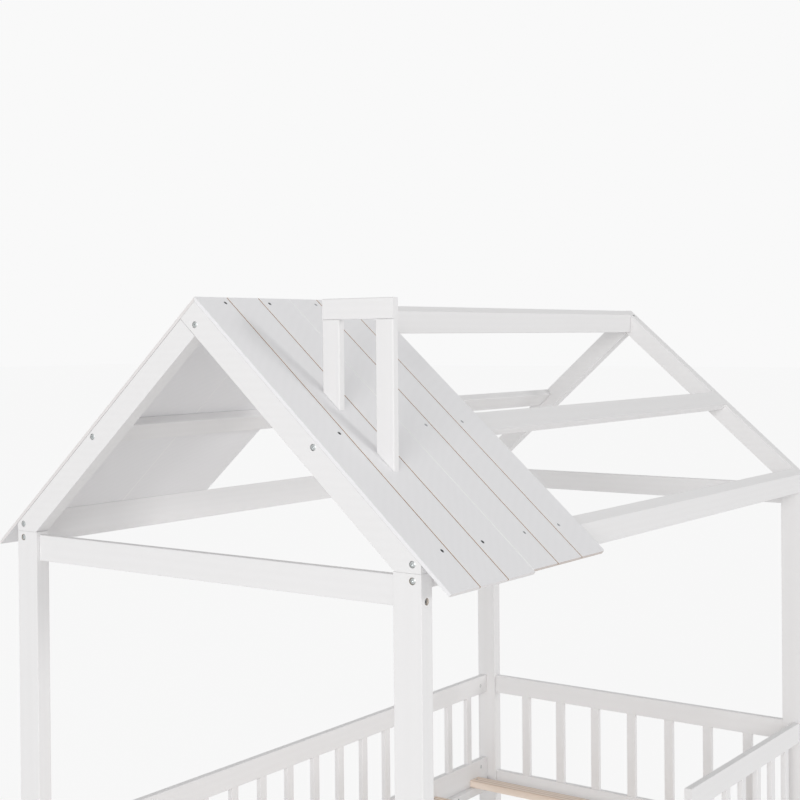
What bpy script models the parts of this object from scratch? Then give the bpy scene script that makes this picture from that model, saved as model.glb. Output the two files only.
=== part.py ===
"""House bed: a pine frame shaped like a small house, with a boarded roof over one end.

Lengths are in metres. X runs along the bed from the roofed end to the other end, Y from the open
front to the back, and Z upwards from the floor. Every piece is its own closed solid, and pieces that
touch are kept apart by FIT.
"""

from math import atan, cos, pi, sin, tan

import bmesh
import bpy
from mathutils import Vector

# Frame
LENGTH = 1.66
WIDTH = 0.86
FIT = 0.0003
SHARP_ANGLE = 0.6
POST_HEIGHT = 1.05
POST_DEPTH = 0.030
POST_WIDTH = 0.049
POST_ROUND = 0.0012

# Roof frame
RIDGE_RISE = 0.405
ROOF_HEEL = 0.014
RAFTER_WIDTH = 0.0415
RAFTER_ROUND = 0.0010
RIDGE_BEAM_THICKNESS = 0.024
RIDGE_BEAM_HEIGHT = 0.054
EAVE_BEAM_THICKNESS = 0.015
EAVE_BEAM_RECESS = 0.005
EAVE_BEAM_DROP = 0.024
PURLIN_WIDTH = 0.045
PURLIN_THICKNESS = 0.0165
PURLIN_DOWN_SLOPE = 0.3185
BEAM_ROUND = 0.002

# Ties across the ends
TIE_HEIGHT = 0.0463
TIE_THICKNESS = 0.015
TIE_RECESS = 0.0075
TIE_BELOW_POST_TOP = 0.0052
TIE_ROUND = 0.0015

# Roof panels
PANEL_THICKNESS = 0.0055
PANEL_WIDTH = 0.2515
PANELS_A_SLOPE = 2
PANEL_EAVE = 0.644
FRONT_FAR_PANEL_SHORTER = 0.0045
PANEL_EDGE = 0.0006
PANEL_CORNER = 0.008
PANEL_CORNER_CUTS = 3
BOARDS_A_PANEL = 3
GROOVE_WIDTH = 0.0022
GROOVE_DEPTH = 0.0016
GROOVE_SHIFT = 0.002

# Chimney
CHIMNEY_FROM_END = 0.1165
CHIMNEY_THICKNESS = 0.015
CHIMNEY_START = 0.172
CHIMNEY_SPAN = 0.136
CHIMNEY_LEG_WIDTH = 0.033
CHIMNEY_CAP_HEIGHT = 0.034
CHIMNEY_BELOW_RIDGE = 0.006
CHIMNEY_ROUND = 0.002

# Rails of the bed and its fences
RAIL_THICKNESS = 0.015
RAIL_ROUND = 0.0015
SIDE_RAIL_RECESS = 0.010
END_RAIL_RECESS = 0.0075
FENCE_TOP = 0.492
FENCE_RAIL_HEIGHT = 0.046
SIDE_RAIL_TOP = 0.272
SIDE_RAIL_HEIGHT = 0.090
END_RAIL_TOP = 0.239
END_RAIL_HEIGHT = 0.057

# Fence slats
FENCE_SLAT_WIDTH = 0.022
FENCE_SLAT_THICKNESS = 0.011
FENCE_SLAT_ROUND = 0.0012
TENON = 0.008
BACK_FENCE_SLATS = 16
BACK_FENCE_END_GAP_SHARES = (0.788, 1.031)
EVEN_END_GAP_SHARES = (1.0, 1.0)
END_FENCE_SLATS = 7
FRONT_FENCE_SLATS = 6
FRONT_FENCE_LENGTH = 0.630
STILE_WIDTH = 0.034
STILE_TENON_SHOULDER = 0.004

# Bed base
BED_SLATS = 8
BED_SLAT_WIDTH = 0.044
BED_SLAT_THICKNESS = 0.018
BED_SLAT_ROUND = 0.0025
BED_SLAT_SIDE_GAP = 0.0005
BED_SLAT_FROM_END = 0.098
BED_BASE_TOP = 0.230
CLEAT_WIDTH = 0.0145
CLEAT_HEIGHT = 0.019
CLEAT_END_GAP = 0.003
CLEAT_ROUND = 0.0015

# Bolts
BOLT_SIDES = 12
BOLT_SHANK = 0.0030
BOLT_HEAD = 0.0048
BOLT_HEAD_RIM = 0.0018
BOLT_HEAD_HEIGHT = 0.0028
BOLT_SUNK = 0.0036
COUNTERBORE = 0.0056
BOLT_CROWN_SHARES = ((0.84, 0.80), (0.52, 1.0))
BOLT_SOCKET = 0.0022
BOLT_SOCKET_DEPTH = 0.0016
BOLT_LENGTH = 0.056
BOLT_END_ROOM = 0.002
APEX_BOLT_BELOW_RIDGE = 0.038
PURLIN_BOLT_DOWN_SLOPE = 0.3295
PURLIN_BOLT_DEPTH = 0.0093
EAVE_BOLT_OFF_MIDDLE = 0.0025
FOOT_BOLT_ABOVE_POST = 0.0132
POST_BOLT_BELOW_TOP = 0.0110
TIE_BOLT_ABOVE_TIE = 0.0103
FENCE_BOLT_ABOVE_RAIL = 0.0215
SIDE_BOLTS_BELOW_TOP = (0.0194, 0.0700)
END_FENCE_BOLT_ABOVE_RAIL = 0.0100
BARREL_FROM_END = 0.0325
BARREL_RADIUS = 0.0045
BARREL_LENGTH = 0.010
BARREL_SUNK = 0.002

# Screws
SCREW_SIDES = 10
SCREW_SHANK = 0.0015
SCREW_HEAD = 0.0034
SCREW_HEAD_DEPTH = 0.0022
SCREW_SUNK = 0.0002
SCREW_END_ROOM = 0.001
ROOF_SCREW_LENGTH = 0.018
RIDGE_SCREW_DOWN_SLOPE = 0.009
PURLIN_SCREW_DOWN_SLOPE = 0.319
EAVE_SCREW_PAST_BEAM = 0.0047
ROOF_SCREW_FROM_THIRD = 0.0172
BACK_ROOF_SCREW_SHIFT = 0.008
APEX_SCREW_DOWN_SLOPE = 0.018
APEX_SCREW_LENGTH = 0.066
SLAT_SCREW_LENGTH = 0.034
CLEAT_SCREW_LENGTH = 0.026
CHIMNEY_SCREW_LENGTH = 0.022
CHIMNEY_SCREW_UPHILL = 0.0075
CAP_SCREW_LENGTH = 0.052

# Colours: base colour, roughness, metallic
LACQUER = ("white_lacquered_pine", (0.84, 0.84, 0.83), 0.45, 0.0)
PANEL_LACQUER = ("white_lacquered_board", (0.78, 0.78, 0.79), 0.5, 0.0)
RAW_PINE = ("raw_pine", (0.74, 0.56, 0.38), 0.65, 0.0)
ZINC = ("zinc_plated_steel", (0.62, 0.63, 0.64), 0.35, 1.0)

# Values that follow from the sizes above
END_X = LENGTH / 2
SIDE_Y = WIDTH / 2
RIDGE_Z = POST_HEIGHT + RIDGE_RISE
SLOPE = (RIDGE_RISE - ROOF_HEEL) / SIDE_Y
PITCH = atan(SLOPE)
INNER_X = END_X - POST_DEPTH
INNER_Y = SIDE_Y - POST_WIDTH
SIDE_RAIL_Y = SIDE_Y - SIDE_RAIL_RECESS - RAIL_THICKNESS / 2
END_RAIL_X = END_X - END_RAIL_RECESS - RAIL_THICKNESS / 2
RAIL_INNER_Y = SIDE_Y - SIDE_RAIL_RECESS - RAIL_THICKNESS
EAVE_BEAM_Y = SIDE_Y - EAVE_BEAM_RECESS - EAVE_BEAM_THICKNESS / 2
EAVE_SCREW_DOWN_SLOPE = EAVE_BEAM_Y / cos(PITCH) + EAVE_SCREW_PAST_BEAM
ROOF_SCREWS_DOWN_SLOPE = (RIDGE_SCREW_DOWN_SLOPE, PURLIN_SCREW_DOWN_SLOPE, EAVE_SCREW_DOWN_SLOPE)
TIE_X = END_X - TIE_RECESS - TIE_THICKNESS / 2
TIE_TOP = POST_HEIGHT - TIE_BELOW_POST_TOP
FENCE_RAIL_BOTTOM = FENCE_TOP - FENCE_RAIL_HEIGHT
CLEAT_TOP = BED_BASE_TOP - BED_SLAT_THICKNESS - FIT
HOLE = BOLT_SHANK + FIT
PILOT = SCREW_SHANK + FIT
ENDS = (("near", -1), ("far", 1))
SIDES = (("front", -1), ("back", 1))


# Placing things

def along_x(a, b, t):
    return Vector((t, a, b))


def along_y(a, b, t):
    return Vector((a, t, b))


def along_z(a, b, t):
    return Vector((a, b, t))


def on_slope(side, x, down, out):
    """A point of one roof slope: down from the ridge, and out from the plane of the rafter tops."""
    y = side * (down * cos(PITCH) + out * sin(PITCH))
    return Vector((x, y, RIDGE_Z - down * sin(PITCH) + out * cos(PITCH)))


def down_slope(side):
    return lambda a, b, t: on_slope(side, a, t, b)


def downhill(side):
    """The direction from the ridge down one roof slope."""
    return Vector((0, side * cos(PITCH), -sin(PITCH)))


def outward(side):
    """The direction straight out of one roof slope."""
    return Vector((0, side * sin(PITCH), cos(PITCH)))


# Outlines

def rounded(points, radius, steps=3):
    """A convex outline with each corner rounded. A list of radii gives each corner its own."""
    radii = radius if isinstance(radius, (list, tuple)) else [radius] * len(points)
    outline = []
    for i, (corner, size) in enumerate(zip(points, radii)):
        here = Vector(corner)
        if size == 0:
            outline.append(here)
            continue
        back = (Vector(points[i - 1]) - here).normalized()
        ahead = (Vector(points[(i + 1) % len(points)]) - here).normalized()
        half = back.angle(ahead) / 2
        middle = here + (back + ahead).normalized() * (size / sin(half))
        start = here + back * (size / tan(half)) - middle
        stop = here + ahead * (size / tan(half)) - middle
        turn = start.angle(stop)
        for k in range(steps + 1):
            share = k / steps
            weight = (sin((1 - share) * turn), sin(share * turn))
            outline.append(middle + (start * weight[0] + stop * weight[1]) / sin(turn))
    return outline


def rectangle(a, b, radius):
    """A rounded rectangle between the two values of a and the two of b."""
    return rounded([(a[0], b[0]), (a[1], b[0]), (a[1], b[1]), (a[0], b[1])], radius)


def about(middle, size):
    return (middle - size / 2, middle + size / 2)


# Solids

def prism(bm, outline, place, start, stop):
    """Adds one closed prism to the mesh: the outline swept from start to stop."""
    rings = [[bm.verts.new(place(p[0], p[1], t)) for p in outline] for t in (start, stop)]
    count = len(outline)
    bm.faces.new(rings[0])
    bm.faces.new(list(reversed(rings[1])))
    for i in range(count):
        j = (i + 1) % count
        bm.faces.new((rings[0][i], rings[1][i], rings[1][j], rings[0][j]))


def turned(bm, origin, direction, rings, sides):
    """Adds one closed turned solid. Each ring is a distance along the axis and a radius."""
    axis = Vector(direction).normalized()
    first = axis.orthogonal().normalized()
    second = axis.cross(first)
    loops = []
    for along, radius in rings:
        loop = []
        for k in range(sides):
            angle = 2 * pi * k / sides
            spoke = first * cos(angle) + second * sin(angle)
            loop.append(bm.verts.new(Vector(origin) + axis * along + spoke * radius))
        loops.append(loop)
    bm.faces.new(loops[0])
    bm.faces.new(list(reversed(loops[-1])))
    for low, high in zip(loops, loops[1:]):
        for k in range(sides):
            j = (k + 1) % sides
            bm.faces.new((low[k], high[k], high[j], low[j]))


def trimmed(bm, point, normal):
    """Cuts away everything beyond a plane and closes the cut."""
    geometry = bm.verts[:] + bm.edges[:] + bm.faces[:]
    cut = bmesh.ops.bisect_plane(
        bm, geom=geometry, plane_co=point, plane_no=normal, clear_outer=True
    )
    edges = [e for e in cut["geom_cut"] if isinstance(e, bmesh.types.BMEdge)]
    bmesh.ops.contextual_create(bm, geom=edges)


def bolt(bm, seat, inward, length):
    """A bolt with a low domed head and a socket, its head sunk in a counterbore at seat."""
    under = BOLT_SUNK - FIT
    crown = BOLT_HEAD_HEIGHT - BOLT_HEAD_RIM
    rings = [(length, BOLT_SHANK), (under, BOLT_SHANK), (under, BOLT_HEAD)]
    rings.append((under - BOLT_HEAD_RIM, BOLT_HEAD))
    for radius_share, height_share in BOLT_CROWN_SHARES:
        rings.append((under - BOLT_HEAD_RIM - crown * height_share, BOLT_HEAD * radius_share))
    rings.append((under - BOLT_HEAD_HEIGHT, BOLT_SOCKET))
    rings.append((under - BOLT_HEAD_HEIGHT + BOLT_SOCKET_DEPTH, BOLT_SOCKET))
    turned(bm, seat, inward, rings, BOLT_SIDES)


def counterbored_hole(bm, seat, inward, stop):
    """A cutter for the sunk head of a bolt and for its shank behind it."""
    rings = [(-COUNTERBORE, COUNTERBORE), (BOLT_SUNK, COUNTERBORE), (BOLT_SUNK, HOLE), (stop, HOLE)]
    turned(bm, seat, inward, rings, BOLT_SIDES)


def bolt_hole(bm, seat, inward, start, stop):
    """A cutter for the shank of a bolt, between two distances from its seat."""
    turned(bm, seat, inward, [(start, HOLE), (stop, HOLE)], BOLT_SIDES)


def screw_hole(bm, face, inward, length):
    """A cutter with room for a countersunk screw."""
    rings = [
        (-FIT, SCREW_HEAD + FIT),
        (SCREW_SUNK, SCREW_HEAD + FIT),
        (SCREW_SUNK + SCREW_HEAD_DEPTH, PILOT),
        (length + SCREW_END_ROOM, PILOT),
    ]
    turned(bm, face, inward, rings, SCREW_SIDES)


def pilot_hole(bm, face, inward, start, length):
    """A cutter for the part of a screw below its head."""
    turned(bm, face, inward, [(start, PILOT), (length + SCREW_END_ROOM, PILOT)], SCREW_SIDES)


# Scene objects

def clear_scene():
    for old in list(bpy.data.objects):
        bpy.data.objects.remove(old, do_unlink=True)


def material(kind):
    name, colour, roughness, metallic = kind
    made = bpy.data.materials.get(name)
    if made is None:
        made = bpy.data.materials.new(name)
        made.use_nodes = True
        shader = made.node_tree.nodes["Principled BSDF"]
        shader.inputs["Base Color"].default_value = (*colour, 1.0)
        shader.inputs["Roughness"].default_value = roughness
        shader.inputs["Metallic"].default_value = metallic
        made.diffuse_color = (*colour, 1.0)
    return made


def linked(name, bm):
    bmesh.ops.recalc_face_normals(bm, faces=bm.faces[:])
    mesh = bpy.data.meshes.new(name)
    bm.to_mesh(mesh)
    bm.free()
    mesh.shade_smooth()
    mesh.set_sharp_from_angle(angle=SHARP_ANGLE)
    made = bpy.data.objects.new(name, mesh)
    bpy.context.scene.collection.objects.link(made)
    return made


def node(name, bm, kind, cutters=(), joined=()):
    """Makes one named piece. Booleans join shapes to it, and then cut meshes of holes in it."""
    piece = linked(name, bm)
    piece.data.materials.append(material(kind))
    steps = [("UNION", tool) for tool in joined] + [("DIFFERENCE", tool) for tool in cutters]
    for count, (operation, shape) in enumerate(steps):
        if not shape.faces:
            shape.free()
            continue
        tool = linked(f"{name}_tool_{count}", shape)
        tool.hide_render = True
        tool.display_type = "WIRE"
        step = piece.modifiers.new(f"step_{count}", "BOOLEAN")
        step.operation = operation
        step.solver = "EXACT"
        step.object = tool
    return piece


# Where the fasteners go

def roof_screw_places(side):
    """The face point and inward direction of each screw in one slope, with its panel's number."""
    board = PANEL_WIDTH / BOARDS_A_PANEL
    shift = BACK_ROOF_SCREW_SHIFT if side > 0 else 0
    inward = -outward(side)
    places = []
    for panel in range(PANELS_A_SLOPE):
        start = -END_X + panel * PANEL_WIDTH
        for x in (
            start + board - ROOF_SCREW_FROM_THIRD,
            start + PANEL_WIDTH - board + ROOF_SCREW_FROM_THIRD,
        ):
            for row, down in enumerate(ROOF_SCREWS_DOWN_SLOPE):
                face = on_slope(side, x + shift, down, FIT + PANEL_THICKNESS)
                places.append((panel, row, face, inward))
    return places


def gable_bolt_places(end):
    """The seat of each bolt on one gable's outer face, by the beam that it holds."""
    x = end * END_X
    places = [("ridge", 0, Vector((x, 0, RIDGE_Z - APEX_BOLT_BELOW_RIDGE)))]
    for name, side in SIDES:
        seat = on_slope(side, x, PURLIN_BOLT_DOWN_SLOPE, -PURLIN_BOLT_DEPTH)
        places.append(("purlin", side, seat))
        y = side * (EAVE_BEAM_Y - EAVE_BOLT_OFF_MIDDLE)
        places.append(("foot", side, Vector((x, y, POST_HEIGHT + FOOT_BOLT_ABOVE_POST))))
        places.append(("post", side, Vector((x, y, POST_HEIGHT - POST_BOLT_BELOW_TOP))))
    return places


def tie_bolt_place(end, side):
    z = TIE_TOP - TIE_HEIGHT + TIE_BOLT_ABOVE_TIE
    return Vector((end * TIE_X, side * SIDE_Y, z))


def fence_bolt_z():
    return FENCE_RAIL_BOTTOM + FENCE_BOLT_ABOVE_RAIL


def side_bolt_heights(end, side):
    """Heights of the bolts that hold the long rails to one post."""
    heights = [SIDE_RAIL_TOP - below for below in SIDE_BOLTS_BELOW_TOP]
    if side > 0 or end > 0:
        heights.append(fence_bolt_z())
    return heights


def end_bolt_heights():
    """Heights of the bolts that hold the rails of an end fence to one post."""
    return [
        FENCE_RAIL_BOTTOM + END_FENCE_BOLT_ABOVE_RAIL,
        END_RAIL_TOP - END_RAIL_HEIGHT / 2,
    ]


def bed_slat_middles():
    first = -END_X + BED_SLAT_FROM_END
    step = -2 * first / (BED_SLATS - 1)
    return [first + step * i for i in range(BED_SLATS)]


def slat_screw_y():
    return RAIL_INNER_Y - FIT - CLEAT_WIDTH / 2


def cleat_screw_places(side):
    middles = bed_slat_middles()
    face = side * (RAIL_INNER_Y - FIT - CLEAT_WIDTH)
    z = CLEAT_TOP - CLEAT_HEIGHT / 2
    return [Vector(((a + b) / 2, face, z)) for a, b in zip(middles, middles[1:])]


def chimney_legs():
    """The name and the middle of each chimney leg across the bed."""
    near_ridge = CHIMNEY_START + CHIMNEY_LEG_WIDTH / 2
    near_eave = CHIMNEY_START + CHIMNEY_SPAN - CHIMNEY_LEG_WIDTH / 2
    return (("high", -near_ridge), ("low", -near_eave))


def chimney_x():
    return -END_X + CHIMNEY_FROM_END + CHIMNEY_THICKNESS / 2


def chimney_top():
    return RIDGE_Z + PANEL_THICKNESS / cos(PITCH) - CHIMNEY_BELOW_RIDGE


def chimney_screw_place(y):
    """The point under the roof panel where the screw of a leg enters, and its direction."""
    down = (-y - CHIMNEY_SCREW_UPHILL) / cos(PITCH) - PANEL_THICKNESS * SLOPE
    return on_slope(-1, chimney_x(), down, FIT), outward(-1)


# Posts

def build_posts():
    for end_name, end in ENDS:
        for side_name, side in SIDES:
            body = bmesh.new()
            x = sorted((end * END_X, end * INNER_X))
            y = sorted((side * SIDE_Y, side * INNER_Y))
            prism(body, rectangle(x, y, POST_ROUND), along_z, 0, POST_HEIGHT)
            holes = bmesh.new()
            through = POST_DEPTH + POST_WIDTH
            inward = (-end, 0, 0)
            for kind, bolt_side, seat in gable_bolt_places(end):
                if kind == "post" and bolt_side == side:
                    counterbored_hole(holes, seat, inward, through)
            for z in side_bolt_heights(end, side):
                seat = (end * END_X, side * SIDE_RAIL_Y, z)
                counterbored_hole(holes, seat, inward, through)
            across = (0, -side, 0)
            counterbored_hole(holes, tie_bolt_place(end, side), across, through)
            for z in end_bolt_heights():
                seat = (end * END_RAIL_X, side * SIDE_Y, z)
                counterbored_hole(holes, seat, across, through)
            node(f"post_{end_name}_{side_name}", body, LACQUER, [holes])


# Rafters, ties and long roof beams

def build_rafters():
    """In each gable the front rafter runs to the top and the back one butts square under it."""
    for end_name, end in ENDS:
        for side_name, side in SIDES:
            body = bmesh.new()
            x = sorted((end * END_X, end * INNER_X))
            outline = rectangle(x, (-RAFTER_WIDTH, 0), RAFTER_ROUND)
            reach = SIDE_Y / cos(PITCH)
            prism(body, outline, down_slope(side), -RAFTER_WIDTH - RAFTER_WIDTH, reach + RAFTER_WIDTH)
            trimmed(body, Vector((0, 0, POST_HEIGHT + FIT)), Vector((0, 0, -1)))
            trimmed(body, Vector((0, side * SIDE_Y, 0)), Vector((0, side, 0)))
            runs_through = side < 0
            below = 0 if runs_through else -RAFTER_WIDTH - FIT
            trimmed(body, on_slope(-side, 0, 0, below), outward(-side))
            holes = bmesh.new()
            for kind, bolt_side, seat in gable_bolt_places(end):
                here = bolt_side == side and kind in ("purlin", "foot")
                if here or (kind == "ridge" and runs_through):
                    counterbored_hole(holes, seat, (-end, 0, 0), POST_DEPTH + BOLT_SHANK)
            apex = on_slope(-1, end * (END_X - POST_DEPTH / 2), APEX_SCREW_DOWN_SLOPE, 0)
            if runs_through:
                screw_hole(holes, apex, -outward(-1), APEX_SCREW_LENGTH)
            else:
                pilot_hole(holes, apex, -outward(-1), RAFTER_WIDTH - PILOT, APEX_SCREW_LENGTH)
            node(f"rafter_{end_name}_{side_name}", body, LACQUER, [holes])


def build_ties():
    for end_name, end in ENDS:
        body = bmesh.new()
        outline = rectangle(about(end * TIE_X, TIE_THICKNESS), (TIE_TOP - TIE_HEIGHT, TIE_TOP), TIE_ROUND)
        prism(body, outline, along_y, -INNER_Y + FIT, INNER_Y - FIT)
        holes = bmesh.new()
        for name, side in SIDES:
            seat = tie_bolt_place(end, side)
            bolt_hole(holes, seat, (0, -side, 0), POST_WIDTH - HOLE, POST_WIDTH + BOLT_LENGTH)
        node(f"tie_{end_name}", body, LACQUER, [holes])


def beam_bolt_holes(kinds, side):
    """Blind holes in the two ends of a beam that gable bolts hold."""
    holes = bmesh.new()
    for name, end in ENDS:
        for kind, bolt_side, seat in gable_bolt_places(end):
            if kind in kinds and bolt_side == side:
                stop = BOLT_LENGTH + BOLT_END_ROOM
                bolt_hole(holes, seat, (-end, 0, 0), POST_DEPTH - HOLE, stop)
    return holes


def add_roof_pilots(holes, side, row):
    for panel, screw_row, face, inward in roof_screw_places(side):
        if screw_row == row:
            start = PANEL_THICKNESS - PILOT
            pilot_hole(holes, face, inward, start, ROOF_SCREW_LENGTH)


def build_ridge_beam():
    half = RIDGE_BEAM_THICKNESS / 2
    shoulder = RIDGE_Z - half * SLOPE
    bottom = RIDGE_Z - RIDGE_BEAM_HEIGHT
    points = [(-half, bottom), (half, bottom), (half, shoulder), (0, RIDGE_Z), (-half, shoulder)]
    body = bmesh.new()
    outline = rounded(points, [BEAM_ROUND, BEAM_ROUND, 0, BEAM_ROUND, 0])
    prism(body, outline, along_x, -INNER_X + FIT, INNER_X - FIT)
    holes = beam_bolt_holes(("ridge",), 0)
    add_roof_pilots(holes, -1, 0)
    more = bmesh.new()
    add_roof_pilots(more, 1, 0)
    node("ridge_beam", body, LACQUER, [holes, more])


def build_purlins():
    for side_name, side in SIDES:
        body = bmesh.new()
        rows = about(PURLIN_DOWN_SLOPE, PURLIN_WIDTH)
        flat = rectangle(rows, (-PURLIN_THICKNESS, 0), [BEAM_ROUND, BEAM_ROUND, 0, 0])
        places = [on_slope(side, 0, p[0], p[1]) for p in flat]
        outline = [(p.y, p.z) for p in places]
        prism(body, outline, along_x, -INNER_X + FIT, INNER_X - FIT)
        holes = beam_bolt_holes(("purlin",), side)
        add_roof_pilots(holes, side, 1)
        node(f"purlin_{side_name}", body, LACQUER, [holes])


def build_eave_beams():
    for side_name, side in SIDES:
        body = bmesh.new()
        inner, outer = about(EAVE_BEAM_Y, EAVE_BEAM_THICKNESS)
        bottom = POST_HEIGHT - EAVE_BEAM_DROP
        points = [
            (side * inner, bottom),
            (side * outer, bottom),
            (side * outer, RIDGE_Z - outer * SLOPE),
            (side * inner, RIDGE_Z - inner * SLOPE),
        ]
        outline = rounded(points, [BEAM_ROUND, BEAM_ROUND, 0, 0])
        prism(body, outline, along_x, -INNER_X + FIT, INNER_X - FIT)
        holes = beam_bolt_holes(("foot", "post"), side)
        add_roof_pilots(holes, side, 2)
        node(f"eave_beam_{side_name}", body, LACQUER, [holes])


# Roof panels

def panel_outline(panel):
    """The end view of a panel, with its grooves: x along the bed, and height above the rafter tops."""
    base = -END_X + panel * PANEL_WIDTH
    start = base + (FIT / 2 if panel > 0 else 0)
    stop = base + PANEL_WIDTH - (FIT / 2 if panel == 0 else 0)
    low = FIT
    high = FIT + PANEL_THICKNESS
    points = [(start, low), (stop, low), (stop, high - PANEL_EDGE), (stop - PANEL_EDGE, high)]
    board = PANEL_WIDTH / BOARDS_A_PANEL
    for i in range(BOARDS_A_PANEL - 1, 0, -1):
        middle = base + board * i - GROOVE_SHIFT
        points.append((middle + GROOVE_WIDTH / 2, high))
        points.append((middle, high - GROOVE_DEPTH))
        points.append((middle - GROOVE_WIDTH / 2, high))
    points.append((start + PANEL_EDGE, high))
    points.append((start, high - PANEL_EDGE))
    return points


def panel_eave(side, panel):
    """How far down the slope one panel reaches: the far one in front is slightly shorter."""
    shorter = FRONT_FAR_PANEL_SHORTER if side < 0 and panel > 0 else 0
    return PANEL_EAVE - shorter


def round_corner(body, side, edge, eave):
    """Rounds a panel's lower corner at one edge with cuts that touch an arc."""
    middle = on_slope(side, edge - PANEL_CORNER, eave - PANEL_CORNER, 0)
    for k in range(PANEL_CORNER_CUTS):
        angle = (k + 1) / (PANEL_CORNER_CUTS + 1) * pi / 2
        away = Vector((cos(angle), 0, 0)) + downhill(side) * sin(angle)
        trimmed(body, middle + away * PANEL_CORNER, away)


def build_panels():
    names = ("near", "far")
    for side_name, side in SIDES:
        for panel in range(PANELS_A_SLOPE):
            body = bmesh.new()

            def place(x, out, down, side=side):
                top_cut = (FIT / 2 - out * sin(PITCH)) / cos(PITCH)
                return on_slope(side, x, top_cut if down == 0 else down, out)

            eave = panel_eave(side, panel)
            prism(body, panel_outline(panel), place, 0, eave)
            if panel > 0:
                round_corner(body, side, -END_X + (panel + 1) * PANEL_WIDTH, eave)
            holes = bmesh.new()
            for owner, row, face, inward in roof_screw_places(side):
                if owner == panel:
                    screw_hole(holes, face, inward, ROOF_SCREW_LENGTH)
            if side < 0 and panel == 0:
                for name, y in chimney_legs():
                    entry, direction = chimney_screw_place(y)
                    screw_hole(holes, entry, direction, CHIMNEY_SCREW_LENGTH)
            node(f"roof_panel_{side_name}_{names[panel]}", body, PANEL_LACQUER, [holes])


# Chimney

def build_chimney():
    x = about(chimney_x(), CHIMNEY_THICKNESS)
    cap_low = chimney_top() - CHIMNEY_CAP_HEIGHT
    for name, y in chimney_legs():
        body = bmesh.new()
        outline = rectangle(x, about(y, CHIMNEY_LEG_WIDTH), CHIMNEY_ROUND)
        prism(body, outline, along_z, POST_HEIGHT, cap_low - FIT)
        trimmed(body, on_slope(-1, 0, 0, FIT + PANEL_THICKNESS + FIT), -outward(-1))
        holes = bmesh.new()
        entry, direction = chimney_screw_place(y)
        pilot_hole(holes, entry, direction, PANEL_THICKNESS - PILOT, CHIMNEY_SCREW_LENGTH)
        top = (chimney_x(), y, chimney_top())
        pilot_hole(holes, top, (0, 0, -1), CHIMNEY_CAP_HEIGHT - PILOT, CAP_SCREW_LENGTH)
        node(f"chimney_leg_{name}", body, LACQUER, [holes])
    body = bmesh.new()
    outline = rectangle(x, (cap_low, chimney_top()), CHIMNEY_ROUND)
    prism(body, outline, along_y, -CHIMNEY_START - CHIMNEY_SPAN, -CHIMNEY_START)
    holes = bmesh.new()
    for name, y in chimney_legs():
        screw_hole(holes, (chimney_x(), y, chimney_top()), (0, 0, -1), CAP_SCREW_LENGTH)
    node("chimney_cap", body, LACQUER, [holes])


# Fences

def slat_places(start, stop, count, end_gap_shares=EVEN_END_GAP_SHARES):
    """Middles of slats with equal gaps. The gaps at the two ends are shares of the others."""
    gap = (stop - start - count * FENCE_SLAT_WIDTH) / (count - 1 + sum(end_gap_shares))
    first = start + gap * end_gap_shares[0] + FENCE_SLAT_WIDTH / 2
    return [first + (gap + FENCE_SLAT_WIDTH) * i for i in range(count)]


def slat_shapes(places, line, low, high, place):
    """One fence's slats, glued into the rail over them, and the mortises for the rail under them."""
    slats = bmesh.new()
    mortises = bmesh.new()
    thickness = about(line, FENCE_SLAT_THICKNESS)
    for middle in places:
        width = about(middle, FENCE_SLAT_WIDTH)
        outline = rectangle(width, thickness, FENCE_SLAT_ROUND)
        prism(slats, outline, place, low - TENON, high + TENON)
        wide = about(middle, FENCE_SLAT_WIDTH + FIT + FIT)
        thick = about(line, FENCE_SLAT_THICKNESS + FIT + FIT)
        prism(mortises, rectangle(wide, thick, 0), place, low - TENON - FIT, low + TENON)
    return slats, mortises


def rail_solid(line, low, high, start, stop, place):
    body = bmesh.new()
    outline = rectangle(about(line, RAIL_THICKNESS), (low, high), RAIL_ROUND)
    prism(body, outline, place, start, stop)
    return body


def side_rail_cutters(side, ends, heights):
    """Bolt holes in the ends of a long rail, and the cross holes of its barrel nuts."""
    bores = bmesh.new()
    barrels = bmesh.new()
    for end in ends:
        for z in heights:
            seat = (end * END_X, side * SIDE_RAIL_Y, z)
            stop = POST_DEPTH + BARREL_FROM_END + BARREL_RADIUS + BARREL_RADIUS
            bolt_hole(bores, seat, (-end, 0, 0), POST_DEPTH - HOLE, stop)
            x = end * (INNER_X - BARREL_FROM_END)
            depth = BARREL_LENGTH + BARREL_SUNK + FIT
            face = (x, side * RAIL_INNER_Y, z)
            size = BARREL_RADIUS + FIT
            turned(barrels, face, (0, side, 0), [(-BARREL_SUNK, size), (depth, size)], BOLT_SIDES)
    return bores, barrels


def end_rail_cutters(end, z):
    holes = bmesh.new()
    for name, side in SIDES:
        seat = (end * END_RAIL_X, side * SIDE_Y, z)
        stop = POST_WIDTH + BOLT_LENGTH
        bolt_hole(holes, seat, (0, -side, 0), POST_WIDTH - HOLE, stop)
    return holes


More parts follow.
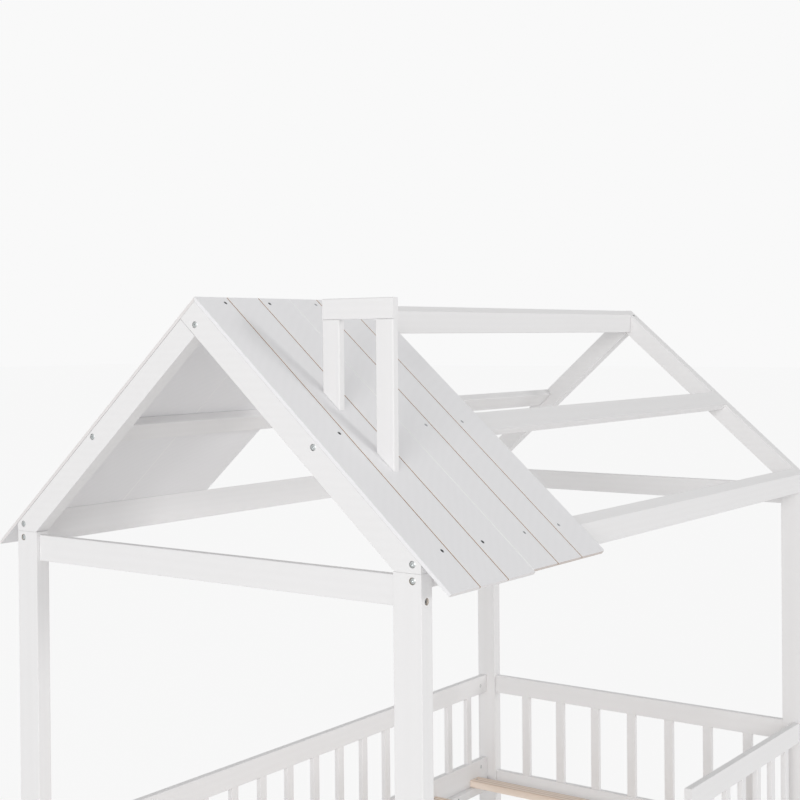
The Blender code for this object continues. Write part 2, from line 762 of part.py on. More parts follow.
def build_side_rails_and_fences():
    side_heights = [SIDE_RAIL_TOP - below for below in SIDE_BOLTS_BELOW_TOP]
    low, high = SIDE_RAIL_TOP, FENCE_RAIL_BOTTOM
    for side_name, side in SIDES:
        line = side * SIDE_RAIL_Y
        if side > 0:
            start = -INNER_X + FIT
            places = slat_places(-INNER_X, INNER_X, BACK_FENCE_SLATS, BACK_FENCE_END_GAP_SHARES)
            ends = (-1, 1)
        else:
            start = INNER_X - FRONT_FENCE_LENGTH
            places = slat_places(start + STILE_WIDTH, INNER_X, FRONT_FENCE_SLATS)
            ends = (1,)
        slats, mortises = slat_shapes(places, line, low, high, along_z)
        bores, barrels = side_rail_cutters(side, ends, [fence_bolt_z()])
        cutters = [bores, barrels]
        if side < 0:
            stile = (start, start + STILE_WIDTH)
            tenon = (stile[0] + STILE_TENON_SHOULDER, stile[1] - STILE_TENON_SHOULDER)
            thick = about(line, RAIL_THICKNESS)
            thin = about(line, FENCE_SLAT_THICKNESS)
            node("front_fence_stile", stile_solid(stile, tenon, thick, thin), LACQUER)
            pocket = rectangle(
                (tenon[0] - FIT, tenon[1] + FIT), (thin[0] - FIT, thin[1] + FIT), 0
            )
            prism(mortises, pocket, along_z, low - TENON - FIT, low + TENON)
            above = bmesh.new()
            prism(above, pocket, along_z, high - TENON, high + TENON + FIT)
            cutters.append(above)
        body = rail_solid(line, high, FENCE_TOP, start, INNER_X - FIT, along_x)
        node(f"{side_name}_fence", body, LACQUER, cutters, [slats])
        bores, barrels = side_rail_cutters(side, (-1, 1), side_heights)
        bottom = low - SIDE_RAIL_HEIGHT
        body = rail_solid(line, bottom, low, -INNER_X + FIT, INNER_X - FIT, along_x)
        screws = bmesh.new()
        for face in cleat_screw_places(side):
            pilot_hole(screws, face, (0, side, 0), CLEAT_WIDTH - PILOT, CLEAT_SCREW_LENGTH)
        node(f"side_rail_{side_name}", body, LACQUER, [mortises, bores, barrels, screws])


def stile_solid(stile, tenon, thick, thin):
    """The end stile of the front fence: one piece, stepped in to a tenon at both ends."""
    low, high = SIDE_RAIL_TOP, FENCE_RAIL_BOTTOM
    levels = [
        (low - TENON, tenon, thin),
        (low + FIT, tenon, thin),
        (low + FIT, stile, thick),
        (high - FIT, stile, thick),
        (high - FIT, tenon, thin),
        (high + TENON, tenon, thin),
    ]
    body = bmesh.new()
    rings = []
    for z, x, y in levels:
        rings.append([body.verts.new((p[0], p[1], z)) for p in rectangle(x, y, RAIL_ROUND)])
    body.faces.new(rings[0])
    body.faces.new(list(reversed(rings[-1])))
    for lower, upper in zip(rings, rings[1:]):
        for i in range(len(lower)):
            j = (i + 1) % len(lower)
            body.faces.new((lower[i], upper[i], upper[j], lower[j]))
    return body


def build_end_fences():
    def across_z(a, b, t):
        return Vector((b, a, t))

    for end_name, end in ENDS:
        line = end * END_RAIL_X
        places = slat_places(-INNER_Y, INNER_Y, END_FENCE_SLATS)
        slats, mortises = slat_shapes(places, line, END_RAIL_TOP, FENCE_RAIL_BOTTOM, across_z)
        heights = end_bolt_heights()
        reach = INNER_Y - FIT
        body = rail_solid(line, FENCE_RAIL_BOTTOM, FENCE_TOP, -reach, reach, along_y)
        node(f"{end_name}_fence", body, LACQUER, [end_rail_cutters(end, heights[0])], [slats])
        bottom = END_RAIL_TOP - END_RAIL_HEIGHT
        body = rail_solid(line, bottom, END_RAIL_TOP, -reach, reach, along_y)
        node(f"end_rail_{end_name}", body, LACQUER, [mortises, end_rail_cutters(end, heights[1])])


# Bed base

def build_bed_base():
    for side_name, side in SIDES:
        y = sorted((side * (RAIL_INNER_Y - FIT), side * (RAIL_INNER_Y - FIT - CLEAT_WIDTH)))
        outline = rectangle(y, (CLEAT_TOP - CLEAT_HEIGHT, CLEAT_TOP), CLEAT_ROUND)
        body = bmesh.new()
        reach = INNER_X - CLEAT_END_GAP
        prism(body, outline, along_x, -reach, reach)
        holes = bmesh.new()
        for face in cleat_screw_places(side):
            screw_hole(holes, face, (0, side, 0), CLEAT_SCREW_LENGTH)
        for x in bed_slat_middles():
            top = (x, side * slat_screw_y(), BED_BASE_TOP)
            pilot_hole(holes, top, (0, 0, -1), BED_SLAT_THICKNESS - PILOT, SLAT_SCREW_LENGTH)
        node(f"cleat_{side_name}", body, LACQUER, [holes])
    reach = RAIL_INNER_Y - BED_SLAT_SIDE_GAP
    for count, x in enumerate(bed_slat_middles()):
        body = bmesh.new()
        levels = (BED_BASE_TOP - BED_SLAT_THICKNESS, BED_BASE_TOP)
        outline = rectangle(about(x, BED_SLAT_WIDTH), levels, BED_SLAT_ROUND)
        prism(body, outline, along_y, -reach, reach)
        holes = bmesh.new()
        for name, side in SIDES:
            top = (x, side * slat_screw_y(), BED_BASE_TOP)
            screw_hole(holes, top, (0, 0, -1), SLAT_SCREW_LENGTH)
        node(f"bed_slat_{count + 1}", body, RAW_PINE, [holes])


# Fasteners

def build_bolts():
    for end_name, end in ENDS:
        for kind, side, seat in gable_bolt_places(end):
            body = bmesh.new()
            bolt(body, seat, (-end, 0, 0), BOLT_LENGTH)
            place = {0: "", -1: "_front", 1: "_back"}[side]
            node(f"{kind}_bolt_{end_name}{place}", body, ZINC)
        for side_name, side in SIDES:
            body = bmesh.new()
            reach = POST_WIDTH + BOLT_LENGTH - BOLT_END_ROOM
            bolt(body, tie_bolt_place(end, side), (0, -side, 0), reach)
            node(f"tie_bolt_{end_name}_{side_name}", body, ZINC)


clear_scene()
build_posts()
build_rafters()
build_ties()
build_ridge_beam()
build_purlins()
build_eave_beams()
build_panels()
build_chimney()
build_side_rails_and_fences()
build_end_fences()
build_bed_base()
build_bolts()
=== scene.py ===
"""The house bed as it looks: lacquered pine, a boarded roof, bare pine slats and zinc-plated fasteners."""

from math import atan, cos, pi, radians, sin

import bpy
from mathutils import Matrix, Vector


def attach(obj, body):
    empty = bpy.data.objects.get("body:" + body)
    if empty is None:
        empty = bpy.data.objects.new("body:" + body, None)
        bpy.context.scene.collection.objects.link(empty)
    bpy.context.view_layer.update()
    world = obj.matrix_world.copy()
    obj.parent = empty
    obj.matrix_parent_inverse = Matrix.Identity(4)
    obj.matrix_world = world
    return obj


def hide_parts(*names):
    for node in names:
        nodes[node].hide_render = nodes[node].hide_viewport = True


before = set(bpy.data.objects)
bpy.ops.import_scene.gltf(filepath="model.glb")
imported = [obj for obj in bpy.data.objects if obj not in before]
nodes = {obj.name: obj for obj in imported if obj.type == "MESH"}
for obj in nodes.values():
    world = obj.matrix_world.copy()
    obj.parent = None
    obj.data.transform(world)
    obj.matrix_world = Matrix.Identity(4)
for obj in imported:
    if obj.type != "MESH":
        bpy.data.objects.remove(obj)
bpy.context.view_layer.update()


# The photograph's view: taken from outside the roofed end, from a little over the post tops, with a
# long lens. The picture is the upper right part of a larger frame, hence the shift.
VIEW_FROM = Vector((-2.6255, -1.5739, 1.3922))
VIEW_YAW = radians(38.967)
VIEW_PITCH = radians(-0.457)
VIEW_ROLL = radians(-0.545)
VIEW_LENS = 66.0
VIEW_SHIFT = (0.1839, -0.0611)

ahead = Vector((cos(VIEW_PITCH) * cos(VIEW_YAW), cos(VIEW_PITCH) * sin(VIEW_YAW), sin(VIEW_PITCH)))
level_right = Vector((sin(VIEW_YAW), -cos(VIEW_YAW), 0))
level_up = level_right.cross(ahead)
right = level_right * cos(VIEW_ROLL) + level_up * sin(VIEW_ROLL)
up = level_up * cos(VIEW_ROLL) - level_right * sin(VIEW_ROLL)
camera_data = bpy.data.cameras.new("camera")
camera_data.sensor_width = 36
camera_data.lens = VIEW_LENS
camera_data.shift_x, camera_data.shift_y = VIEW_SHIFT
camera_data.clip_start = 0.05
camera_data.clip_end = 200
camera = bpy.data.objects.new("camera", camera_data)
turn = Matrix((right, up, -ahead)).transposed()
camera.matrix_world = Matrix.Translation(VIEW_FROM) @ turn.to_4x4()
bpy.context.scene.collection.objects.link(camera)
bpy.context.scene.camera = camera


# Posts: four planed pine posts under a thin satin lacquer, white with slow patches of a lighter tone,
# which leaves the grain just readable as shallow lines. Their tops are bored across for the bolts of
# the ties and along the bed for those of the eave beams, and the bores show the bare wood.
HALF_LENGTH = 0.83
HALF_WIDTH = 0.43
POST_HEIGHT = 1.05
POST_DEPTH = 0.030
COUNTERBORE = 0.0057
TIE_FROM_END = 0.015
TIE_BOLT_BELOW_TOP = 0.0412
EAVE_BOLT_LINE = 0.415
POST_BOLT_BELOW_TOP = 0.011
TIE_LINE = HALF_LENGTH - TIE_FROM_END
TIE_BOLT_HEIGHT = POST_HEIGHT - TIE_BOLT_BELOW_TOP
POST_BOLT_HEIGHT = POST_HEIGHT - POST_BOLT_BELOW_TOP
FENCE_RAIL_BOTTOM = 0.446
UPRIGHT = (0, pi / 2, 0)
WANDER_STRETCH = (2.2, 14, 14)
RING_STRETCH = (0.35, 22, 22)
RING_WANDER = 6.0
FIBRE_STRETCH = (9, 420, 420)
PATCH_SCALE = 3.5
LACQUER_SHADES = ((0.850, 0.842, 0.843), (0.878, 0.870, 0.872))
BORED_WOOD_SHADES = ((0.62, 0.56, 0.50), (0.74, 0.68, 0.62))
PATCH_TONE_SHARE = 0.7
RING_TONE_SHARE = 0.3
LACQUER_SHINE = 0.3
LACQUER_ROUGHNESS = 0.44
FIBRE_ROUGHNESS = 0.10
LACQUER_RELIEF = 0.00012
RING_RELIEF_SHARE = 0.35
FIBRE_RELIEF_SHARE = 0.65
ENDS = {"near": -1, "far": 1}
SIDES_OF_BED = {"front": -1, "back": 1}


def calc(tree, operation, a, b=None, c=None):
    """A Math node fed with sockets or numbers, and its result."""
    node = tree.nodes.new("ShaderNodeMath")
    node.operation = operation
    for socket, value in zip(node.inputs, (a, b, c)):
        if value is None:
            continue
        if isinstance(value, bpy.types.NodeSocket):
            tree.links.new(value, socket)
        else:
            socket.default_value = value
    return node.outputs[0]


def weighted(tree, a, a_share, b, b_share):
    """The sum of two values, each times its share."""
    return calc(tree, "MULTIPLY_ADD", a, a_share, calc(tree, "MULTIPLY", b, b_share))


def blended(tree, factor, a, b):
    """A colour between two, each a socket or a colour."""
    node = tree.nodes.new("ShaderNodeMix")
    node.data_type = "RGBA"
    for socket, value in zip((node.inputs[0], node.inputs[6], node.inputs[7]), (factor, a, b)):
        if isinstance(value, bpy.types.NodeSocket):
            tree.links.new(value, socket)
        else:
            socket.default_value = (*value, 1.0)
    return node.outputs[2]


def split(tree, place):
    """The three coordinates of a place."""
    node = tree.nodes.new("ShaderNodeSeparateXYZ")
    tree.links.new(place, node.inputs[0])
    return node.outputs


def noise(tree, place, scale, detail, roughness=0.5):
    """Soft noise around one half."""
    node = tree.nodes.new("ShaderNodeTexNoise")
    tree.links.new(place, node.inputs["Vector"])
    node.inputs["Scale"].default_value = scale
    node.inputs["Detail"].default_value = detail
    node.inputs["Roughness"].default_value = roughness
    return node.outputs["Fac"]


def mapped(tree, place, stretch=(1, 1, 1), turned=(0, 0, 0)):
    """A place stretched, or turned so that its first axis follows the grain."""
    node = tree.nodes.new("ShaderNodeMapping")
    node.inputs["Rotation"].default_value = turned
    node.inputs["Scale"].default_value = stretch
    tree.links.new(place, node.inputs["Vector"])
    return node.outputs["Vector"]


def raised(tree, height, relief):
    """The normal of a surface that rises by its relief where the height is one."""
    node = tree.nodes.new("ShaderNodeBump")
    node.inputs["Distance"].default_value = relief
    node.inputs["Strength"].default_value = 1.0
    tree.links.new(height, node.inputs["Height"])
    return node.outputs["Normal"]


def grain_group():
    """Growth rings and fibres along the first axis, and slow patches of tone."""
    tree = bpy.data.node_groups.new("pine_grain", "ShaderNodeTree")
    tree.interface.new_socket("Vector", in_out="INPUT", socket_type="NodeSocketVector")
    for label in ("Rings", "Fibres", "Patches"):
        tree.interface.new_socket(label, in_out="OUTPUT", socket_type="NodeSocketFloat")
    place = tree.nodes.new("NodeGroupInput").outputs["Vector"]
    result = tree.nodes.new("NodeGroupOutput")
    wander = noise(tree, mapped(tree, place, WANDER_STRETCH), scale=1.0, detail=3)
    bands = tree.nodes.new("ShaderNodeTexWave")
    bands.wave_type = "RINGS"
    bands.rings_direction = "X"
    tree.links.new(mapped(tree, place, RING_STRETCH), bands.inputs["Vector"])
    bands.inputs["Scale"].default_value = 1.2
    bands.inputs["Distortion"].default_value = 3.0
    bands.inputs["Detail"].default_value = 2
    bands.inputs["Detail Scale"].default_value = 0.8
    tree.links.new(calc(tree, "MULTIPLY", wander, RING_WANDER), bands.inputs["Phase Offset"])
    tree.links.new(bands.outputs["Fac"], result.inputs["Rings"])
    fibres = noise(tree, mapped(tree, place, FIBRE_STRETCH), scale=1.0, detail=3, roughness=0.6)
    tree.links.new(fibres, result.inputs["Fibres"])
    patches = noise(tree, place, scale=PATCH_SCALE, detail=2)
    tree.links.new(patches, result.inputs["Patches"])
    return tree


PINE_GRAIN = grain_group()


def surface(name):
    """A new material: its tree, its Principled shader, and the place on the object."""
    made = bpy.data.materials.new(name)
    made.use_nodes = True
    tree = made.node_tree
    place = tree.nodes.new("ShaderNodeTexCoord").outputs["Object"]
    return made, tree, tree.nodes["Principled BSDF"], place


def grained(tree, along):
    """The rings, fibres and patches of the pine in a material."""
    node = tree.nodes.new("ShaderNodeGroup")
    node.node_tree = PINE_GRAIN
    tree.links.new(along, node.inputs["Vector"])
    return node.outputs["Rings"], node.outputs["Fibres"], node.outputs["Patches"]


def bored(tree, parts, axis, line, height):
    """1 inside the counterbores that run along the other level axis, in all four posts."""
    a = calc(tree, "SUBTRACT", calc(tree, "ABSOLUTE", parts[axis]), line)
    b = calc(tree, "SUBTRACT", parts["Z"], height)
    squares = calc(tree, "MULTIPLY_ADD", a, a, calc(tree, "MULTIPLY", b, b))
    return calc(tree, "LESS_THAN", squares, COUNTERBORE * COUNTERBORE)


def lacquer(name, grain_turn, fence=False, post=False):
    """The lacquer of one grain direction. A fence's slats stand upright under its rail."""
    made, tree, shader, place = surface(name)
    along = mapped(tree, place, turned=grain_turn)
    if fence:
        choice = tree.nodes.new("ShaderNodeMix")
        choice.data_type = "VECTOR"
        above = calc(tree, "GREATER_THAN", split(tree, place)["Z"], FENCE_RAIL_BOTTOM)
        tree.links.new(above, choice.inputs[0])
        tree.links.new(mapped(tree, place, turned=UPRIGHT), choice.inputs[4])
        tree.links.new(along, choice.inputs[5])
        along = choice.outputs[1]
    rings, fibres, patches = grained(tree, along)
    tone = weighted(tree, patches, PATCH_TONE_SHARE, rings, RING_TONE_SHARE)
    coat = blended(tree, tone, *LACQUER_SHADES)
    if post:
        parts = split(tree, place)
        across = bored(tree, parts, "X", TIE_LINE, TIE_BOLT_HEIGHT)
        along_bed = bored(tree, parts, "Y", EAVE_BOLT_LINE, POST_BOLT_HEIGHT)
        bare = blended(tree, fibres, *BORED_WOOD_SHADES)
        coat = blended(tree, calc(tree, "MAXIMUM", across, along_bed), coat, bare)
    tree.links.new(coat, shader.inputs["Base Color"])
    shader.inputs["Specular IOR Level"].default_value = LACQUER_SHINE
    roughness = calc(tree, "MULTIPLY_ADD", fibres, FIBRE_ROUGHNESS, LACQUER_ROUGHNESS)
    tree.links.new(roughness, shader.inputs["Roughness"])
    height = weighted(tree, rings, RING_RELIEF_SHARE, fibres, FIBRE_RELIEF_SHARE)
    tree.links.new(raised(tree, height, LACQUER_RELIEF), shader.inputs["Normal"])
    return made


def dressed(name, made):
    """Gives a solid of the frame its finish."""
    for slot in nodes[name].material_slots:
        slot.material = made


post_lacquer = lacquer("lacquer_post", UPRIGHT, post=True)
for end in ENDS:
    for side in SIDES_OF_BED:
        dressed(f"post_{end}_{side}", post_lacquer)


# Rails and fences: lacquered pine boards between the posts. The slats of a fence are glued into its
# top rail and stand in mortises of the rail under them, so their grain runs upright. A tie of the
# same board joins the post tops at each end.
LENGTHWISE = (0, 0, 0)
CROSSWISE = (0, 0, -pi / 2)

long_lacquer = lacquer("lacquer_x", LENGTHWISE)
cross_lacquer = lacquer("lacquer_y", CROSSWISE)
upright_lacquer = lacquer("lacquer_z", UPRIGHT)
long_fence_lacquer = lacquer("lacquer_fence_x", LENGTHWISE, fence=True)
end_fence_lacquer = lacquer("lacquer_fence_y", CROSSWISE, fence=True)
for side in SIDES_OF_BED:
    dressed(f"side_rail_{side}", long_lacquer)
    dressed(f"{side}_fence", long_fence_lacquer)
for end in ENDS:
    dressed(f"end_rail_{end}", cross_lacquer)
    dressed(f"{end}_fence", end_fence_lacquer)
    dressed(f"tie_{end}", cross_lacquer)
dressed("front_fence_stile", upright_lacquer)


# Roof frame: lacquered pine rafters that rise from just outside the post tops to the ridge, with the
# ridge beam, two purlins and two eave beams bolted between them.
RIDGE_RISE = 0.405
ROOF_HEEL = 0.014
RIDGE_HEIGHT = POST_HEIGHT + RIDGE_RISE
ROOF_SLOPE = (RIDGE_RISE - ROOF_HEEL) / HALF_WIDTH
ROOF_PITCH = atan(ROOF_SLOPE)
ALONG_SLOPE = {"front": (0, ROOF_PITCH, pi / 2), "back": (0, ROOF_PITCH, -pi / 2)}


def on_roof(side_sign, x, down, out):
    """A point of one roof slope: down from the ridge, and out from the rafter tops."""
    y = side_sign * (down * cos(ROOF_PITCH) + out * sin(ROOF_PITCH))
    return Vector((x, y, RIDGE_HEIGHT - down * sin(ROOF_PITCH) + out * cos(ROOF_PITCH)))


dressed("ridge_beam", long_lacquer)
for side in SIDES_OF_BED:
    rafter_lacquer = lacquer(f"lacquer_{side}_slope", ALONG_SLOPE[side])
    for end in ENDS:
        dressed(f"rafter_{end}_{side}", rafter_lacquer)
    dressed(f"purlin_{side}", long_lacquer)
    dressed(f"eave_beam_{side}", long_lacquer)


# The roof panels: thin boards, lacquered a little cooler than the frame, with a groove between each
# two boards. The groove is cut through the lacquer, so it shows the brown core, and the pale lip on
# its far, lit side is a painted highlight. The lacquer is thin on the sawn edges of the back panels
# and at the eaves.
PANEL_WIDTH = 0.2515
BOARD_WIDTH = PANEL_WIDTH / 3
PANEL_THICKNESS = 0.0055
PANEL_EAVE = 0.644
FRONT_FAR_PANEL_SHORTER = 0.0045
GROOVE_HALF = 0.0011
GROOVE_LIP = 0.0011
GROOVE_SHIFT = 0.002
EDGE_DEPTH = 0.0006
TOP_FACE_ABOVE = 0.003
PANEL_SHADES = ((0.866, 0.862, 0.874), (0.896, 0.892, 0.904))
PANEL_CORE_SHADES = ((0.30, 0.165, 0.09), (0.46, 0.30, 0.19))
# The lip colour is a painted highlight on the lit far side of each groove.
GROOVE_LIP_HIGHLIGHT_COLOUR = (0.97, 0.94, 0.88)
BUTT_JOINT_COLOUR = (0.97, 0.97, 0.96)
PALE_LINE_SHARE = 0.8
BUTT_JOINT_REACH = 0.0007
BUTT_JOINT_SPREAD_SHARE = 0.0014
NEAR_EAVE_BARE_SHARE = 0.10
FAR_EAVE_BARER_SHARE = 0.32
BACK_EDGE_BARE_SHARE = 0.16
PANEL_ROUGHNESS = 0.46
PANEL_FIBRE_ROUGHNESS = 0.12
PANEL_RELIEF = 0.0001
PANEL_RING_RELIEF_SHARE = 0.3
PANEL_FIBRE_RELIEF_SHARE = 0.7


def grooves(tree, from_end, outwards):
    """Masks of the grooves between the boards, and of the painted highlight on the lit lip of their far
    side.
    """
    # Both ends of a panel and the butt joint carry no groove.
    from_joint = calc(tree, "PINGPONG", from_end, PANEL_WIDTH / 2)
    inside = calc(tree, "GREATER_THAN", from_joint, BOARD_WIDTH / 2)
    above = calc(tree, "GREATER_THAN", outwards, TOP_FACE_ABOVE)
    on_top = calc(tree, "MULTIPLY", inside, above)
    line = calc(tree, "ADD", from_end, BOARD_WIDTH / 2 + GROOVE_SHIFT)
    line = calc(tree, "MODULO", line, BOARD_WIDTH)
    line = calc(tree, "SUBTRACT", line, BOARD_WIDTH / 2)
    groove = calc(tree, "LESS_THAN", calc(tree, "ABSOLUTE", line), GROOVE_HALF)
    lip_highlight = calc(tree, "COMPARE", line, GROOVE_HALF + GROOVE_LIP / 2, GROOVE_LIP / 2)
    return calc(tree, "MULTIPLY", on_top, groove), calc(tree, "MULTIPLY", on_top, lip_highlight)


def panel_lacquer(side, side_sign):
    """The lacquer of one slope's panels, with their grooves and their barer edges."""
    made, tree, shader, place = surface(f"panel_lacquer_{side}")
    rings, fibres, patches = grained(tree, mapped(tree, place, turned=ALONG_SLOPE[side]))
    parts = split(tree, place)
    across = parts["Y"]
    rise = calc(tree, "SUBTRACT", parts["Z"], RIDGE_HEIGHT)
    outwards = weighted(tree, rise, cos(ROOF_PITCH), across, side_sign * sin(ROOF_PITCH))
    down = weighted(tree, rise, -sin(ROOF_PITCH), across, side_sign * cos(ROOF_PITCH))
    from_end = calc(tree, "ADD", parts["X"], HALF_LENGTH)
    groove, lip_highlight = grooves(tree, from_end, outwards)
    tone = weighted(tree, patches, PATCH_TONE_SHARE, rings, RING_TONE_SHARE)
    coat = blended(tree, tone, *PANEL_SHADES)
    # The pale lip is a painted highlight on the lit far side of each groove.
    coat = blended(tree, calc(tree, "MULTIPLY", lip_highlight, PALE_LINE_SHARE), coat, GROOVE_LIP_HIGHLIGHT_COLOUR)
    # The pale line at the butt joint widens towards the eave.
    reach = calc(tree, "MULTIPLY_ADD", down, BUTT_JOINT_SPREAD_SHARE, BUTT_JOINT_REACH)
    joint = calc(tree, "COMPARE", from_end, PANEL_WIDTH, reach)
    coat = blended(tree, calc(tree, "MULTIPLY", joint, PALE_LINE_SHARE), coat, BUTT_JOINT_COLOUR)
    bare = blended(tree, fibres, *PANEL_CORE_SHADES)
    coat = blended(tree, groove, coat, bare)
    far_panel = calc(tree, "GREATER_THAN", from_end, PANEL_WIDTH)
    shorter = FRONT_FAR_PANEL_SHORTER if side_sign < 0 else 0
    reach = calc(tree, "MULTIPLY_ADD", far_panel, -shorter, PANEL_EAVE - EDGE_DEPTH)
    thin = calc(tree, "MULTIPLY_ADD", far_panel, FAR_EAVE_BARER_SHARE, NEAR_EAVE_BARE_SHARE)
    thin = calc(tree, "MULTIPLY", calc(tree, "GREATER_THAN", down, reach), thin)
    if side_sign > 0:
        edge = calc(tree, "LESS_THAN", from_end, EDGE_DEPTH)
        thin = calc(tree, "MAXIMUM", thin, calc(tree, "MULTIPLY", edge, BACK_EDGE_BARE_SHARE))
    tree.links.new(blended(tree, thin, coat, bare), shader.inputs["Base Color"])
    shader.inputs["Specular IOR Level"].default_value = LACQUER_SHINE
    roughness = calc(tree, "MULTIPLY_ADD", fibres, PANEL_FIBRE_ROUGHNESS, PANEL_ROUGHNESS)
    tree.links.new(roughness, shader.inputs["Roughness"])
    height = weighted(tree, rings, PANEL_RING_RELIEF_SHARE, fibres, PANEL_FIBRE_RELIEF_SHARE)
    tree.links.new(raised(tree, height, PANEL_RELIEF), shader.inputs["Normal"])
    return made


for side, side_sign in SIDES_OF_BED.items():
    finish = panel_lacquer(side, side_sign)
    for end in ENDS:
        dressed(f"roof_panel_{side}_{end}", finish)


# The chimney: two upright legs and a cap of lacquered pine board, open between the legs. The legs
# stand on the near roof panel in front.
dressed("chimney_leg_high", upright_lacquer)
dressed("chimney_leg_low", upright_lacquer)
dressed("chimney_cap", cross_lacquer)


# The bed base: planed pine slats without lacquer, screwed down to a lacquered cleat along each long
# rail. Growth rings show as darker lines along each slat, with finer fibres between them.
BED_SLATS = 8
RAW_PINE_SHADES = ((0.97, 0.84, 0.73), (0.64, 0.48, 0.37))
RAW_PINE_PATCH = (0.92, 0.82, 0.73)
RAW_PINE_RING_SHARE = 0.75
RAW_PINE_FIBRE_SHARE = 0.35
RAW_PINE_PATCH_SHARE = 0.35
RAW_PINE_ROUGHNESS = 0.55
RAW_PINE_FIBRE_ROUGHNESS = 0.15
RAW_PINE_RELIEF = 0.00015


def raw_pine():
    """Planed pine with its grain across the bed."""
    made, tree, shader, place = surface("raw_pine_y")
    rings, fibres, patches = grained(tree, mapped(tree, place, turned=CROSSWISE))
    tone = weighted(tree, rings, RAW_PINE_RING_SHARE, fibres, RAW_PINE_FIBRE_SHARE)
    wood = blended(tree, tone, *RAW_PINE_SHADES)
    patch = calc(tree, "MULTIPLY", patches, RAW_PINE_PATCH_SHARE)
    wood = blended(tree, patch, wood, RAW_PINE_PATCH)
    tree.links.new(wood, shader.inputs["Base Color"])
    roughness = calc(tree, "MULTIPLY_ADD", fibres, RAW_PINE_FIBRE_ROUGHNESS, RAW_PINE_ROUGHNESS)
    tree.links.new(roughness, shader.inputs["Roughness"])
    tree.links.new(raised(tree, fibres, RAW_PINE_RELIEF), shader.inputs["Normal"])
    return made


slat_pine = raw_pine()
for count in range(BED_SLATS):
    dressed(f"bed_slat_{count + 1}", slat_pine)
dressed("cleat_front", long_lacquer)
dressed("cleat_back", long_lacquer)


# Bolts: zinc-plated, with a low domed head and a hexagon socket, each sunk in a counterbore so that
# the head lies just under the lacquer. The head is dull zinc, and the floor of its socket is painted
# bright as a highlight. The bolts of the ties lie deeper, and their heads are painted darker as the
# shade of their deep bores, with a paler socket as a painted highlight.
HEAD_RADIUS = 0.0048
HEAD_TOP = 0.0005
HEAD_DOME = 0.0002
HEAD_RIM = 0.0007
HEAD_SEAT = 0.0033
HEAD_FLAT_SHARE = 0.56
HEAD_SHOULDER_SHARE = 0.84
TIE_HEAD_TOP = 0.0022
SOCKET_RADIUS = 0.0019
SOCKET_FLOOR = 0.0016
SOCKET_FLOOR_SHARE = 0.96
SOCKET_HIGHLIGHT_RADIUS = 0.0016
BOLT_SHANK = 0.0030
THREAD_CREST = 0.0002
THREAD_CORE = BOLT_SHANK - THREAD_CREST - THREAD_CREST
THREAD_PITCH = 0.0010
THREAD_START = 0.036
BOLT_LENGTH = 0.056
TIE_BOLT_LENGTH = 0.103
RAIL_BOLT_LENGTH = 0.064
FACETS = 24
CREASE_ANGLE = 0.6
CLOUD_SCALE = 900.0
CLOUD_PALER_SHARE = 1.3
ZINC_ROUGHNESS = 0.26
CLOUD_ROUGHNESS = 0.2
ZINC_RELIEF = 0.00002
# The bright socket colours are painted highlights, and the tie bolts' darker head colour is painted shade
# of their deep bores.
BOLT_HEAD_COLOUR = (0.46, 0.48, 0.48)
BOLT_SOCKET_HIGHLIGHT_COLOUR = (0.84, 0.86, 0.87)
TIE_HEAD_SHADE_COLOUR = (0.34, 0.34, 0.34)
TIE_SOCKET_HIGHLIGHT_COLOUR = (0.46, 0.46, 0.46)


def zinc(name, head_colour, painted_middle_colour, painted_middle_radius):
    """Zinc plating, with painted light within one radius of the fastener's own axis: a painted highlight
    in bolt sockets and nut slots, painted shade in screw recesses.
    """
    made, tree, shader, place = surface(name)
    cloud = noise(tree, place, scale=CLOUD_SCALE, detail=3, roughness=0.6)
    parts = split(tree, place)
    y, z = parts["Y"], parts["Z"]
    radius = calc(tree, "SQRT", calc(tree, "MULTIPLY_ADD", y, y, calc(tree, "MULTIPLY", z, z)))
    painted_middle = calc(tree, "LESS_THAN", radius, painted_middle_radius)
    head = blended(tree, cloud, head_colour, [c * CLOUD_PALER_SHARE for c in head_colour])
    tree.links.new(blended(tree, painted_middle, head, painted_middle_colour), shader.inputs["Base Color"])
    roughness = calc(tree, "MULTIPLY_ADD", cloud, CLOUD_ROUGHNESS, ZINC_ROUGHNESS)
    tree.links.new(roughness, shader.inputs["Roughness"])
    shader.inputs["Metallic"].default_value = 1.0
    tree.links.new(raised(tree, cloud, ZINC_RELIEF), shader.inputs["Normal"])
    return made


def round_profile(radius):
    """The same radius all round."""
    return [radius] * FACETS


def hexagon_profile(radius):
    """Radii of a hexagon that is as wide across its flats as twice the radius."""
    return [radius / cos((2 * pi * k / FACETS) % (pi / 3) - pi / 6) for k in range(FACETS)]


def turned_mesh(name, rings, made):
    """A closed turned mesh along its own X axis. Each ring is a distance and a list of radii."""
    points = []
    faces = [tuple(reversed(range(FACETS)))]
    for along, radii in rings:
        for k in range(FACETS):
            angle = 2 * pi * k / FACETS
            points.append((along, cos(angle) * radii[k], sin(angle) * radii[k]))
    last = (len(rings) - 1) * FACETS
    faces.append(tuple(range(last, last + FACETS)))
    for ring in range(len(rings) - 1):
        low = ring * FACETS
        for k in range(FACETS):
            j = (k + 1) % FACETS
            faces.append((low + k, low + j, low + FACETS + j, low + FACETS + k))
    mesh = bpy.data.meshes.new(name)
    mesh.from_pydata(points, [], faces)
    mesh.shade_smooth()
    mesh.set_sharp_from_angle(angle=CREASE_ANGLE)
    mesh.materials.append(made)
    return mesh


